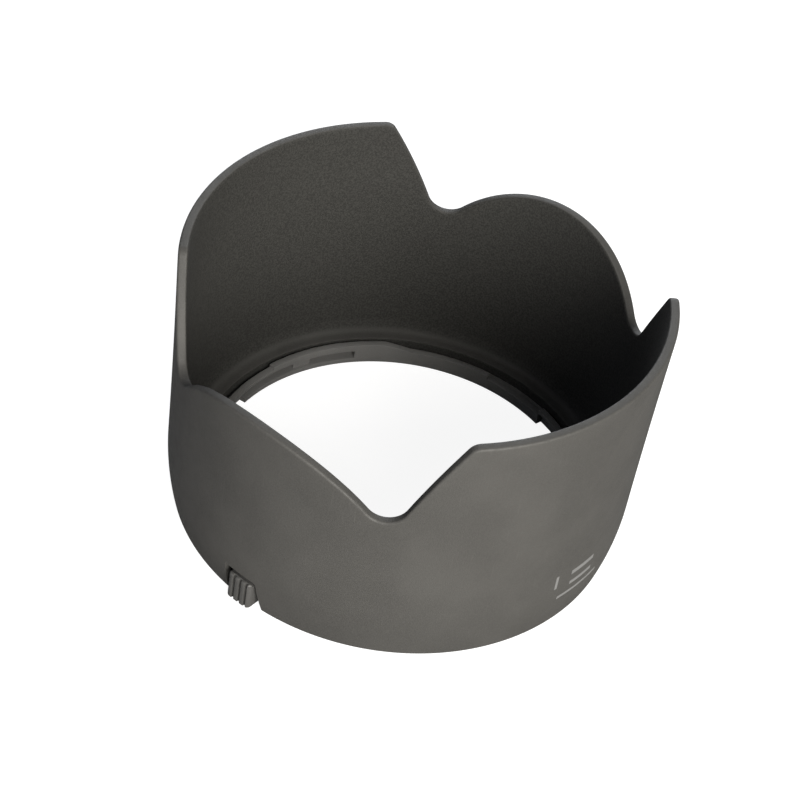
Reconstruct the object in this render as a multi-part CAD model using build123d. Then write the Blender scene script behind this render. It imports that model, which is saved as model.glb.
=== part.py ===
from build123d import *
import math
import os

# Petal lens hood with a bayonet ring and a release button, in millimetres.
# The origin is the centre of the lens end. +Z runs towards the front of the hood.
# The two tall petals stand on +Y and -Y, the two short ones on +X and -X.
# The lock is drawn at +X and then turned to its place at -X.

# ---- shell ----
base_r = 48.3  # outer radius at the lens end
belt_r = 50.0  # outer radius where the tucked-in base ends
belt_z = 12.8
middle_r = 50.38  # outer radius half way up, between straight and flared
front_r = 51.1  # outer radius at the front
tuck_r = 49.53  # outer radius half way up the tucked-in base
wall = 2.1

# ---- front edge, laid out flat round a cylinder of this radius ----
layout_r = 50.5
tall_height = 61.2
tall_shoulder_drop = 0.3  # how much lower a tall petal is at its corners
corner_s = 35.8  # distance round from the tall petal's middle to its corner
corner_round = 2.8
side_slope = 1.93  # fall of the tall petal's side for each unit round
side_bulge = 0.75  # how far the side bows out from a straight line
short_height = 51.0
short_arch_r = 35.5  # the short petal's edge is one arc of this radius
valley_round = 4.8
rim_points = 48  # points along a quarter of the edge

# ---- shelf that carries the bayonet ring ----
shelf_bottom = 2.2
shelf_top = 4.6
shelf_r = 43.2
cove_r = 3.0  # round between the shelf and the wall

# ---- bayonet ring ----
bore_r = 40.4
collar_r = 41.85
collar_top = 5.0
flange_r = 45.95
bayonet_count = 3
bayonet_pitch = 360 / bayonet_count
# Angles round one third of the ring, from its low stretch to the end of its gate.
low_start = -13
low_end = 9
ramp_start = 36
ramp_end = 44
slot_start = 54
ridge_start = 69
gate_start = 75
band_start = 84
entry_start = 97  # from here to the gate's end the lip under the gate is open, and a lens lug can enter
gate_end = low_start + bayonet_pitch
low_top = 2.6
middle_top = 3.6
band_top = 4.2
slot_bottom = 1.2
slot_top = 3.3
ridge_groove = 0.8

# ---- ring screws ----
ring_screw_r = 44.3
ring_screw_angles = (50, 130, 230, 310)
screw_head_r = 1.4
screw_head = 1.0
screw_shank_r = 0.8
screw_tip = 4.1
screw_gap = 0.02
head_room = 0.1  # between a screw's head and its recess
head_inset = 0.1  # how far a ring screw's head lies under the flange's face

# ---- lock button ----
button_travel = 1.2
button_face_x = 50.5
button_half = 3.05
button_bottom = 0.5
button_top = 7.3
shoulder_half = 5.8
shoulder_inner_x = 44.15
shoulder_outer_x = 46.35
shoulder_top = 7.7
shoulder_foot = 2.4
shoulder_bridge = 3.8  # the lever passes under the shoulder up to this height
groove_count = 3
groove_pitch = 1.6
groove_width = 0.7
groove_offset = 0.35  # how far the middle groove is off the button's middle
rib_depth = 0.6
grip_corner = 1.1  # round of the grip's upright front edges
grip_plate = 0.8  # behind this much of its face the grip is stepped down
grip_step = 0.55

# ---- button bay in the shell ----
bay_half = 6.0
bay_inner_x = 42.7
bay_outer_x = 46.4
bay_top = 8.0
bay_wall = 1.6
seat_wall = 0.6  # wall between the bay and the bayonet ring, where the spring stands
notch_top = 8.1
# The notch reaches this far to each side of the button's middle, at its top and at its base.
notch_lever_side = 3.7
notch_free_side = 4.9
notch_base_lever_side = 5.1
notch_base_free_side = 4.3
notch_lever_round = 1.0
notch_free_round = 0.4

# ---- lever ----
pivot_r = 44.5
pivot_angle = 12.0
lever_bottom = 2.4
lever_top = 3.6
hub_r = 1.7
hub_top = 4.2
peg_x = 45.35
peg_y = 3.4
peg_r = 0.6
peg_top = 5.2
peg_slot_gap = 0.08  # between the peg and the sides of its slot
peg_slot_length = 2.46
peg_slot_y = 3.28
arm_end_r = 0.9
claw_end_r = 0.8
claw_root_r = 43.3
claw_angle = 19.0
claw_half_angle = 1.7
claw_tip_r = 40.5
claw_top = 3.2
lever_bay_r = 46.45
lever_bay_top = 4.4
lever_bay_end = 24.0
lever_roof_top = 6.4
lever_roof_end = 29.0

# ---- pin ----
pin_r = 0.75
pin_bottom = 1.3
pin_top = 5.6
pin_fit = 0.02
hub_fit = 0.05

# ---- spring ----
spring_r = 1.0
spring_wire = 0.25
spring_z = 5.3
spring_pocket_r = 1.2
spring_pocket_x = 49.0

# ---- lock plate ----
plate_bottom = 0.8
plate_inner_r = 42.75
plate_outer_r = 45.9
plate_start = -12.5
plate_end = 28.0
plate_gap = 0.15
stem_room = 0.3  # between the plate and the pressed button
plate_screw_r = 44.4
plate_screw_angles = (-10.3, 25.8)
plate_head_r = 1.2
plate_head = 0.7
plate_head_inset = 0.05
plate_shank_r = 0.65
plate_screw_tip = 4.3

LOCK_SIDE = Rot(0, 0, 180)


def on_circle(radius, degrees):
    """A point on a circle about the hood's axis."""
    turn = math.radians(degrees)
    return (radius * math.cos(turn), radius * math.sin(turn))


def sector(inner, outer, start, end, bottom, top):
    """A block bent round the hood's axis, from one angle to another."""
    section = Plane.XZ * Pos((inner + outer) / 2, (bottom + top) / 2) * Rectangle(outer - inner, top - bottom)
    return Rot(0, 0, start) * revolve(section, Axis.Z, end - start)


def ring_of(inner, outer, bottom, top):
    """A full ring about the hood's axis."""
    section = Plane.XZ * Pos((inner + outer) / 2, (bottom + top) / 2) * Rectangle(outer - inner, top - bottom)
    return revolve(section, Axis.Z)


def block(x0, x1, y0, y1, z0, z1):
    """A box between two corners."""
    return Pos((x0 + x1) / 2, (y0 + y1) / 2, (z0 + z1) / 2) * Box(x1 - x0, y1 - y0, z1 - z0)


def post(x, y, radius, bottom, top):
    """An upright cylinder."""
    return Pos(x, y, (bottom + top) / 2) * Cylinder(radius, top - bottom)


def bar(start, start_r, end, end_r, bottom, top):
    """A flat tapered bar with round ends."""
    shape = make_hull((Pos(*start) * Circle(start_r)).edges() + (Pos(*end) * Circle(end_r)).edges())
    return Pos(0, 0, bottom) * extrude(shape, top - bottom)


# ---- hood shell ----
def side_profile(inset):
    """The shell's side from the base to above the tallest petal, moved inwards by the inset."""
    base = ThreePointArc(
        (base_r - inset, 0),
        (tuck_r - inset, belt_z / 2),
        (belt_r - inset, belt_z),
    )
    flare = ThreePointArc(
        (belt_r - inset, belt_z),
        (middle_r - inset, 36),
        (front_r - inset, tall_height + 1),
    )
    return base + flare


def quarter_wall():
    """A quarter of the plain round wall, from +X to +Y, before its edge is cut."""
    outer = side_profile(0)
    inner = side_profile(wall)
    foot = Line((base_r - wall, 0), (base_r, 0))
    top = Line((front_r - wall, tall_height + 1), (front_r, tall_height + 1))
    section = make_face(Plane.XZ * (outer + inner + foot + top))
    return revolve(section, Axis.Z, 90)


def quarter_edge():
    """Half a tall petal, a valley and half a short petal, laid out flat."""
    half_round = layout_r * math.pi / 2
    crown_r = corner_s**2 / (2 * tall_shoulder_drop)
    crown_end = (corner_s, tall_height - tall_shoulder_drop)
    crown = ThreePointArc(
        (0, tall_height),
        (corner_s / 2, tall_height - (corner_s / 2) ** 2 / (2 * crown_r)),
        crown_end,
    )
    arch_centre = short_height - short_arch_r
    # The side and the arch meet where the line and the circle cross.
    reach = half_round - corner_s
    drop = crown_end[1] - arch_centre
    a = 1 + side_slope**2
    b = -2 * (reach + side_slope * drop)
    c = reach**2 + drop**2 - short_arch_r**2
    run = (-b - math.sqrt(b * b - 4 * a * c)) / (2 * a)
    valley = (corner_s + run, crown_end[1] - side_slope * run)
    side_length = run * math.sqrt(a)
    bowed = (
        (crown_end[0] + valley[0]) / 2 + side_bulge * run * side_slope / side_length,
        (crown_end[1] + valley[1]) / 2 + side_bulge * run / side_length,
    )
    side = ThreePointArc(crown_end, bowed, valley)
    half_way = math.radians(25)
    arch = ThreePointArc(
        valley,
        (half_round - short_arch_r * math.sin(half_way), arch_centre + short_arch_r * math.cos(half_way)),
        (half_round, short_height),
    )
    outline = Wire([crown.edge(), side.edge(), arch.edge()])
    corners = outline.vertices().sort_by(Axis.X)
    outline = outline.fillet_2d(corner_round, [corners[1]])
    low = [v for v in outline.vertices() if (Vector(*v) - Vector(*valley)).length < 0.01]
    return outline.fillet_2d(valley_round, low)


def rim_surface():
    """The surface that trims a quarter of the wall. It is made of lines through the axis."""
    outline = quarter_edge()
    quarter = [outline @ (i / rim_points) for i in range(rim_points + 1)]
    marks = [(math.degrees(p.X / layout_r), p.Y) for p in quarter]
    # The surface runs on a little past both ends, as the next quarters do.
    before = [(-away, height) for away, height in reversed(marks[1:4])]
    after = [(180 - away, height) for away, height in reversed(marks[-4:-1])]
    curves = []
    for radius in (base_r - 12, front_r + 12):
        points = [(*on_circle(radius, 90 - away), height) for away, height in before + marks + after]
        curves.append(Edge.make_spline([Vector(*p) for p in points]))
    return Face.make_surface_from_curves(*curves)


def petal_wall():
    """The wall with its four petals: one quarter, and its mirror images."""
    pieces = split(quarter_wall(), rim_surface(), keep=Keep.BOTH).solids()
    quarter = min(pieces, key=lambda piece: piece.center().Z)
    half = quarter + mirror(quarter, Plane.YZ)
    return half + mirror(half, Plane.XZ)


def shelf():
    """The inner shelf with a round up to the wall."""
    wall_r = belt_r - wall + 0.3
    cove_start = wall_r - 0.6 - cove_r
    under = ((shelf_r, shelf_bottom), (wall_r, shelf_bottom))
    points = Polyline((cove_start, shelf_top), (shelf_r, shelf_top), *under)
    back = Line((wall_r, shelf_bottom), (wall_r, shelf_top + cove_r))
    lip = Line((wall_r, shelf_top + cove_r), (cove_start + cove_r, shelf_top + cove_r))
    round_up = RadiusArc((cove_start, shelf_top), (cove_start + cove_r, shelf_top + cove_r), cove_r)
    return revolve(make_face(Plane.XZ * (points + back + lip + round_up)), Axis.Z)


def lock_housing():
    """The block inside the shell that holds the button and the lever."""
    wall_r = belt_r - wall + 0.3
    side = bay_half + bay_wall
    button_block = block(bay_inner_x - seat_wall, wall_r, -side, side, shelf_bottom, bay_top + bay_wall)
    button_block = button_block & ring_of(1, wall_r, 0, bay_top + bay_wall)
    lever_block = sector(bay_inner_x, wall_r, 0, lever_roof_end, shelf_bottom, lever_roof_top)
    end_block = sector(bay_inner_x, wall_r, plate_start - 1, 0, shelf_bottom, lever_roof_top)
    return button_block + lever_block + end_block


def button_notch():
    """The opening in the wall for the button. The lever's side is +Y here."""
    outline = Polyline(
        (-notch_base_free_side, -1),
        (notch_base_lever_side, -1),
        (notch_lever_side, notch_top),
        (-notch_free_side, notch_top),
        (-notch_base_free_side, -1),
    )
    opening = extrude(Plane.YZ * Pos(0, 0, bay_outer_x - 0.5) * make_face(outline), 8)
    top_edges = opening.edges().filter_by(Axis.X).group_by(Axis.Z)[-1].sort_by(Axis.Y)
    opening = fillet(top_edges[-1], notch_lever_round)
    top_edges = opening.edges().filter_by(Axis.X).group_by(Axis.Z)[-1].sort_by(Axis.Y)
    return fillet(top_edges[0], notch_free_round)


def lock_bays():
    """The hollows of the lock: button bay, lever bay, spring room and pin hole."""
    button_bay = block(bay_inner_x, bay_outer_x, -bay_half, bay_half, shelf_bottom - 1, bay_top)
    under_seat = block(shelf_r - 3, bay_inner_x + 1, -bay_half, bay_half, shelf_bottom - 1, lever_bay_top)
    lever_bay = sector(shelf_r - 3, lever_bay_r, 0, lever_bay_end, shelf_bottom - 1, lever_bay_top)
    pin_hole = post(*on_circle(pivot_r, pivot_angle), pin_r + pin_fit, lever_bay_top, pin_top + 0.1)
    return button_bay + under_seat + lever_bay + pin_hole


def plate_screw_holes():
    """Blind holes for the two screws of the lock plate."""
    return [
        post(*on_circle(plate_screw_r, angle), plate_shank_r + screw_gap, 0, plate_screw_tip + 0.1)
        for angle in plate_screw_angles
    ]


def hood_shell():
    body = petal_wall() + shelf() + LOCK_SIDE * lock_housing()
    body = body - ring_of(bore_r - 2, base_r - wall, -1, shelf_bottom)
    body = body - LOCK_SIDE * lock_bays()
    body = body - LOCK_SIDE * button_notch()
    for hole in plate_screw_holes():
        body = body - LOCK_SIDE * hole
    for angle in ring_screw_angles:
        body = body - post(*on_circle(ring_screw_r, angle), screw_shank_r + screw_gap, 0, screw_tip + 0.1)
    return body


# ---- bayonet ring ----
def bayonet_cuts(turn):
    """What is cut from one third of the collar."""
    inside = bore_r - 1
    outside = collar_r + 1
    above = collar_top + 1
    low = sector(inside, outside, low_start, low_end, low_top, above)
    middle = sector(inside, outside, low_end, (ramp_start + ramp_end) / 2, middle_top, above)
    slot = sector(inside, outside, slot_start, ridge_start, slot_bottom, slot_top)
    groove = sector(inside, bore_r + ridge_groove, ridge_start, gate_start, slot_bottom, slot_top)
    gate = sector(inside, outside, gate_start, gate_end, slot_bottom, slot_top)
    entry = sector(inside, collar_r, entry_start, gate_end, -1, slot_top)
    band = sector(inside, outside, band_start, gate_end, band_top, above)
    half = math.tan(math.radians((ramp_end - ramp_start) / 2)) * collar_r
    slope = Polyline(
        (-half, middle_top),
        (half, collar_top),
        (half, above),
        (-half, above),
        (-half, middle_top),
    )
    ramp_block = extrude(Plane.YZ * Pos(0, 0, inside) * make_face(slope), 4)
    ramp = Rot(0, 0, (ramp_start + ramp_end) / 2) * ramp_block
    return [Rot(0, 0, turn) * cut for cut in (low, middle, slot, groove, gate, entry, band, ramp)]


def bayonet_ring():
    body = ring_of(bore_r, collar_r, 0, collar_top) + ring_of(collar_r - 0.1, flange_r, 0, shelf_bottom)
    for third in range(bayonet_count):
        for cut in bayonet_cuts(third * bayonet_pitch):
            body = body - cut
    lock_gap = sector(
        plate_inner_r - plate_gap,
        flange_r + 1,
        plate_start - 0.2,
        plate_end + 0.2,
        -1,
        shelf_bottom + 1,
    )
    body = body - LOCK_SIDE * lock_gap
    for angle in ring_screw_angles:
        x, y = on_circle(ring_screw_r, angle)
        body = body - post(x, y, screw_shank_r + screw_gap, -1, shelf_bottom + 1)
        body = body - post(x, y, screw_head_r + head_room, -1, head_inset + screw_head)
    return body


# ---- screws ----
def screw(x, y, head_r, head_bottom, head, shank_r, tip):
    """A small screw that points up, with a cross recess in its head."""
    body = post(x, y, head_r, head_bottom, head_bottom + head) + post(x, y, shank_r, head_bottom + head, tip)
    arm = head_r * 0.65
    depth = head * 0.5
    for turn in (0, 90):
        body = body - Pos(x, y, head_bottom + depth / 2) * Rot(0, 0, turn) * Box(2 * arm, arm * 0.35, depth)
    return body


def ring_screws():
    return [
        screw(*on_circle(ring_screw_r, angle), screw_head_r, head_inset, screw_head, screw_shank_r, screw_tip)
        for angle in ring_screw_angles
    ]


def plate_screws():
    return [
        LOCK_SIDE
        * screw(
            *on_circle(plate_screw_r, angle),
            plate_head_r,
            plate_bottom + plate_head_inset,
            plate_head,
            plate_shank_r,
            plate_screw_tip,
        )
        for angle in plate_screw_angles
    ]


# ---- lock ----
def lock_button():
    grip = block(shoulder_outer_x - 0.5, button_face_x, -button_half, button_half, button_bottom, button_top)
    grip = fillet(grip.edges().filter_by(Axis.X), 0.6)
    plan = block(shoulder_inner_x, button_face_x, -button_half, button_half, 0, button_top + 1)
    grip = grip & fillet(plan.edges().filter_by(Axis.Z).group_by(Axis.X)[-1], grip_corner)
    step_x = button_face_x - grip_plate
    grip = grip - block(0, step_x, -button_half, button_half, button_top - grip_step, button_top + 1)
    grip = grip - block(0, shoulder_outer_x, -button_half, button_half, 0, shoulder_foot)
    for i in range(groove_count):
        y = groove_offset + (i - (groove_count - 1) / 2) * groove_pitch
        grip = grip - block(
            button_face_x - rib_depth,
            button_face_x + 1,
            y - groove_width / 2,
            y + groove_width / 2,
            button_bottom - 1,
            button_top + 1,
        )
    shoulder = block(
        shoulder_inner_x, shoulder_outer_x, -shoulder_half, shoulder_half, shoulder_foot, shoulder_top
    )
    lever_gap = block(0, shoulder_outer_x + 0.1, 0.5, shoulder_half + 1, 0, shoulder_bridge)
    peg_slot = SlotOverall(peg_slot_length, 2 * (peg_r + peg_slot_gap), rotation=90)
    peg_room = Pos(peg_x, peg_slot_y, lever_top) * extrude(peg_slot, peg_top + 0.2 - lever_top)
    spring_room = Pos((bay_inner_x + spring_pocket_x) / 2, 0, spring_z) * Rot(0, 90, 0)
    spring_room = spring_room * Cylinder(spring_pocket_r, spring_pocket_x - bay_inner_x)
    return LOCK_SIDE * (grip + shoulder - lever_gap - peg_room - spring_room)


def lock_lever():
    pivot = on_circle(pivot_r, pivot_angle)
    claw_root = on_circle(claw_root_r, claw_angle)
    body = bar(pivot, hub_r, (peg_x, peg_y), arm_end_r, lever_bottom, lever_top)
    body = body + bar(pivot, hub_r, claw_root, claw_end_r, lever_bottom, lever_top)
    body = body + post(*pivot, hub_r, lever_bottom, hub_top)
    body = body + post(peg_x, peg_y, peg_r, lever_bottom, peg_top)
    claw = sector(
        claw_tip_r,
        claw_root_r,
        claw_angle - claw_half_angle,
        claw_angle + claw_half_angle,
        lever_bottom,
        claw_top,
    )
    return LOCK_SIDE * (body + claw - post(*pivot, pin_r + hub_fit, 0, hub_top + 1))


def lever_pin():
    return LOCK_SIDE * post(*on_circle(pivot_r, pivot_angle), pin_r, pin_bottom, pin_top)


def button_spring():
    length = spring_pocket_x - bay_inner_x
    coil = Cylinder(spring_r, length) - Cylinder(spring_r - 2 * spring_wire, length)
    return LOCK_SIDE * Pos(bay_inner_x + length / 2, 0, spring_z) * Rot(0, 90, 0) * coil


def lock_plate():
    plate = sector(plate_inner_r, plate_outer_r, plate_start, plate_end, plate_bottom, shelf_bottom)
    plate = plate - post(*on_circle(pivot_r, pivot_angle), pin_r + pin_fit, pin_bottom, shelf_bottom + 1)
    for angle in plate_screw_angles:
        x, y = on_circle(plate_screw_r, angle)
        plate = plate - post(x, y, plate_shank_r + screw_gap, 0, shelf_bottom + 1)
        plate = plate - post(x, y, plate_head_r + head_room, 0, plate_bottom + plate_head_inset + plate_head)
    stem_x = shoulder_outer_x - button_travel - stem_room
    stem_half = button_half + stem_room
    plate = plate - block(stem_x, plate_outer_r + 1, -stem_half, stem_half, 0, shelf_bottom + 1)
    return LOCK_SIDE * plate


os.makedirs("parts", exist_ok=True)
export_step(hood_shell(), "parts/hood_shell.step")
export_step(bayonet_ring(), "parts/bayonet_ring.step")
export_step(Compound(children=ring_screws()), "parts/ring_screws.step")
export_step(lock_button(), "parts/lock_button.step")
export_step(lock_lever(), "parts/lock_lever.step")
export_step(lever_pin(), "parts/lever_pin.step")
export_step(button_spring(), "parts/button_spring.step")
export_step(lock_plate(), "parts/lock_plate.step")
export_step(Compound(children=plate_screws()), "parts/plate_screws.step")
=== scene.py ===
# The looks of a petal lens hood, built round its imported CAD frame. Metres, +Z towards the front of the hood.
import bpy
import bmesh
import math
from mathutils import Matrix, Vector


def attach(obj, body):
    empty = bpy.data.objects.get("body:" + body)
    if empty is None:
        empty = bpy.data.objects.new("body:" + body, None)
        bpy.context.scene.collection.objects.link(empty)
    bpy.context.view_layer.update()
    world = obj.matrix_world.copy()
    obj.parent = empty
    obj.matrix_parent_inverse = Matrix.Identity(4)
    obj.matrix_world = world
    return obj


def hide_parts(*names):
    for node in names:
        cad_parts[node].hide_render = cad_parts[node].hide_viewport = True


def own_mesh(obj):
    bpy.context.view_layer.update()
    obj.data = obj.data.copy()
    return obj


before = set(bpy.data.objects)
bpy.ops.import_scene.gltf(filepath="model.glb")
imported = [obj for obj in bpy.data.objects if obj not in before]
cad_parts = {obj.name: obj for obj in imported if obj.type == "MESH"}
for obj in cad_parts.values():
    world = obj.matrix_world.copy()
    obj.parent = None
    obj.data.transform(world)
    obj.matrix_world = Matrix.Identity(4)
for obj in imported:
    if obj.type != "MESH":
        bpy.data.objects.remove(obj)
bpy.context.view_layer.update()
MM = 0.001
LOCK_TURN = math.pi  # the lock stands at -X

# ---- shell, in millimetres until it becomes a mesh ----
BASE_R, BELT_R, BELT_Z = 48.3, 50.0, 12.8
TUCK_R, MIDDLE_R, MIDDLE_Z, FRONT_R = 49.53, 50.38, 36.0, 51.1
WALL = 2.1
LAYOUT_R = 50.5
TALL, SHOULDER_DROP, CORNER_S, CORNER_ROUND = 61.2, 0.3, 35.8, 2.8
SIDE_SLOPE, SIDE_BULGE = 1.93, 0.75
SHORT, ARCH_R, VALLEY_ROUND = 51.0, 35.5, 4.8
EDGE_ROUND = 0.55
SHELF_BOTTOM, SHELF_TOP, SHELF_R, COVE_R = 2.2, 4.6, 43.2, 3.0


def arc_through(a, b, c):
    """Centre and radius of the circle through three points."""
    (ax, ay), (bx, by), (cx, cy) = a, b, c
    d = 2 * (ax * (by - cy) + bx * (cy - ay) + cx * (ay - by))
    ux = ((ax**2 + ay**2) * (by - cy) + (bx**2 + by**2) * (cy - ay) + (cx**2 + cy**2) * (ay - by)) / d
    uy = ((ax**2 + ay**2) * (cx - bx) + (bx**2 + by**2) * (ax - cx) + (cx**2 + cy**2) * (bx - ax)) / d
    return ux, uy, math.hypot(ax - ux, ay - uy)


TUCK = arc_through((BASE_R, 0), (TUCK_R, BELT_Z / 2), (BELT_R, BELT_Z))
FLARE = arc_through((BELT_R, BELT_Z), (MIDDLE_R, MIDDLE_Z), (FRONT_R, TALL + 1))


def outer_r(z):
    """The shell's outer radius at a height."""
    if z < BELT_Z:
        x, y, r = TUCK
        return x + math.sqrt(r * r - (z - y) ** 2)
    x, y, r = FLARE
    return x - math.sqrt(r * r - (z - y) ** 2)


def inner_r(z):
    return outer_r(z) - WALL


# ---- the shell's front edge, laid out flat: s runs round the hood from the middle of a tall petal ----
def first_crossing(centre, radius, start, direction):
    """Where a line from a point first crosses a circle."""
    dx, dy = start[0] - centre[0], start[1] - centre[1]
    b = dx * direction[0] + dy * direction[1]
    run = -b - math.sqrt(b * b - dx * dx - dy * dy + radius * radius)
    return start[0] + run * direction[0], start[1] + run * direction[1]


def circles_cross(a, a_r, b, b_r, near):
    """The crossing of two circles that is nearest to a point."""
    dx, dy = b[0] - a[0], b[1] - a[1]
    gap = math.hypot(dx, dy)
    along = (a_r**2 - b_r**2 + gap**2) / (2 * gap)
    across = math.sqrt(a_r**2 - along**2)
    foot = (a[0] + along * dx / gap, a[1] + along * dy / gap)
    found = [(foot[0] + way * across * dy / gap, foot[1] - way * across * dx / gap) for way in (1, -1)]
    return min(found, key=lambda p: math.dist(p, near))


def bearing(start, end):
    return math.atan2(end[1] - start[1], end[0] - start[0])


def arc_points(centre, radius, start, end, count, outward):
    """Points on an arc with the direction into the plastic, which is inwards where outward is 1."""
    points = []
    for i in range(count):
        a = start + (end - start) * i / count
        c, s = math.cos(a), math.sin(a)
        points.append((centre[0] + radius * c, centre[1] + radius * s, -outward * c, -outward * s))
    return points


def quarter_rim():
    """Half a tall petal, a valley and half a short petal, as (s, z, direction into the plastic)."""
    half_round = LAYOUT_R * math.pi / 2
    crown_r = CORNER_S**2 / (2 * SHOULDER_DROP)
    crown_c = (0, TALL - crown_r)
    arch_c = (half_round, SHORT - ARCH_R)
    corner = (CORNER_S, TALL - SHOULDER_DROP)
    slant = math.hypot(1, SIDE_SLOPE)
    valley = first_crossing(arch_c, ARCH_R, corner, (1 / slant, -SIDE_SLOPE / slant))
    bowed = (
        (corner[0] + valley[0]) / 2 + SIDE_BULGE * SIDE_SLOPE / slant,
        (corner[1] + valley[1]) / 2 + SIDE_BULGE / slant,
    )
    side_x, side_y, side_r = arc_through(corner, bowed, valley)
    side_c = (side_x, side_y)
    corner_c = circles_cross(crown_c, crown_r - CORNER_ROUND, side_c, side_r - CORNER_ROUND, corner)
    valley_c = circles_cross(side_c, side_r + VALLEY_ROUND, arch_c, ARCH_R + VALLEY_ROUND, valley)
    crown_end = bearing(crown_c, corner_c)
    side_start = bearing(side_c, corner_c)
    side_end = bearing(side_c, valley_c)
    arch_start = bearing(arch_c, valley_c)
    points = arc_points(crown_c, crown_r, math.pi / 2, crown_end, 60, 1)
    points += arc_points(corner_c, CORNER_ROUND, crown_end, side_start, 12, 1)
    points += arc_points(side_c, side_r, side_start, side_end, 36, 1)
    points += arc_points(valley_c, VALLEY_ROUND, side_end - math.pi, arch_start - math.pi, 20, -1)
    points += arc_points(arch_c, ARCH_R, arch_start, math.pi / 2, 56, 1)
    points.append((half_round, SHORT, 0, -1))
    return points


def full_rim():
    """The whole front edge as (angle, s from the angle, z, directions)."""
    quarter = quarter_rim()
    rim = []
    for middle in (90, 270):
        for s, z, ds, dz in reversed(quarter[1:]):
            rim.append((math.radians(middle) - s / LAYOUT_R, z, -ds / LAYOUT_R, dz))
        for s, z, ds, dz in quarter[:-1]:
            rim.append((math.radians(middle) + s / LAYOUT_R, z, ds / LAYOUT_R, dz))
    return rim


# ---- mesh helpers ----
SMOOTH_ANGLE = 35


def to_object(name, bm):
    """A new object from a bmesh in millimetres."""
    bmesh.ops.recalc_face_normals(bm, faces=bm.faces)
    bmesh.ops.scale(bm, vec=(MM, MM, MM), verts=bm.verts)
    mesh = bpy.data.meshes.new(name)
    bm.to_mesh(mesh)
    bm.free()
    obj = bpy.data.objects.new(name, mesh)
    bpy.context.scene.collection.objects.link(obj)
    mesh.shade_smooth()
    mesh.set_sharp_from_angle(angle=math.radians(SMOOTH_ANGLE))
    return obj


def apply_modifier(obj, modifier):
    """Applies a modifier without operators."""
    graph = bpy.context.evaluated_depsgraph_get()
    made = bpy.data.meshes.new_from_object(obj.evaluated_get(graph))
    obj.modifiers.remove(modifier)
    old = obj.data
    obj.data = made
    bpy.data.meshes.remove(old)


def combine(obj, tool, operation):
    """Adds a tool to an object, or cuts it away, and drops the tool."""
    modifier = obj.modifiers.new("combine", "BOOLEAN")
    modifier.operation = operation
    modifier.solver = "EXACT"
    modifier.object = tool
    apply_modifier(obj, modifier)
    mesh = tool.data
    bpy.data.objects.remove(tool)
    bpy.data.meshes.remove(mesh)


def round_edges(obj, width, segments=2, angle=40):
    """Small rounds on an object's sharp edges."""
    modifier = obj.modifiers.new("round", "BEVEL")
    modifier.width = width * MM
    modifier.segments = segments
    modifier.limit_method = "ANGLE"
    modifier.angle_limit = math.radians(angle)
    modifier.harden_normals = False
    apply_modifier(obj, modifier)
    obj.data.shade_smooth()
    obj.data.set_sharp_from_angle(angle=math.radians(SMOOTH_ANGLE))


def add_loops(bm, loops, closed=True):
    """Faces between rows of points that each run round. Returns the rows of vertices."""
    rows = [[bm.verts.new(p) for p in loop] for loop in loops]
    count = len(rows[0])
    pairs = list(zip(rows, rows[1:]))
    if closed:
        pairs.append((rows[-1], rows[0]))
    for low, high in pairs:
        for i in range(count):
            j = (i + 1) % count
            bm.faces.new((low[i], low[j], high[j], high[i]))
    return rows


def add_sector(bm, inner, outer, start, end, bottom, top, step=1.0):
    """A closed block bent round the axis, between two angles in degrees."""
    count = max(2, int(abs(end - start) / step) + 1)
    rows = []
    for r, z in ((inner, bottom), (outer, bottom), (outer, top), (inner, top)):
        row = []
        for i in range(count + 1):
            a = math.radians(start + (end - start) * i / count)
            row.append(bm.verts.new((r * math.cos(a), r * math.sin(a), z)))
        rows.append(row)
    for low, high in zip(rows, rows[1:] + rows[:1]):
        for i in range(count):
            bm.faces.new((low[i], low[i + 1], high[i + 1], high[i]))
    bm.faces.new([row[0] for row in rows])
    bm.faces.new([row[-1] for row in reversed(rows)])


def add_block(bm, x0, x1, y0, y1, z0, z1):
    """A closed box between two corners."""
    matrix = Matrix.Translation(((x0 + x1) / 2, (y0 + y1) / 2, (z0 + z1) / 2))
    matrix = matrix @ Matrix.Diagonal((x1 - x0, y1 - y0, z1 - z0, 1))
    bmesh.ops.create_cube(bm, size=1, matrix=matrix)


def add_prism(bm, outline, to_point, near, far):
    """A closed prism: outline points are placed by to_point(point, depth)."""
    low = [bm.verts.new(to_point(p, near)) for p in outline]
    high = [bm.verts.new(to_point(p, far)) for p in outline]
    count = len(outline)
    for i in range(count):
        j = (i + 1) % count
        bm.faces.new((low[i], low[j], high[j], high[i]))
    bm.faces.new(list(reversed(low)))
    bm.faces.new(high)


def circle_steps(count):
    return [2 * math.pi * i / count for i in range(count)]


def add_post(bm, x, y, radius, bottom, top, count=48):
    """A closed upright cylinder."""
    outline = [(x + radius * math.cos(t), y + radius * math.sin(t)) for t in circle_steps(count)]
    add_prism(bm, outline, lambda p, z: (p[0], p[1], z), bottom, top)


def tool(draw, turn=0.0):
    """A closed object drawn in a bmesh and turned about the hood's axis."""
    bm = bmesh.new()
    draw(bm)
    bmesh.ops.rotate(bm, verts=bm.verts, cent=(0, 0, 0), matrix=Matrix.Rotation(turn, 3, "Z"))
    return to_object("tool", bm)


def on_circle(radius, degrees):
    turn = math.radians(degrees)
    return radius * math.cos(turn), radius * math.sin(turn)


# ---- materials: every pattern is worked out in the piece's own coordinates, in metres ----
EDGE_CURVE = "edge_curve"


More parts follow.
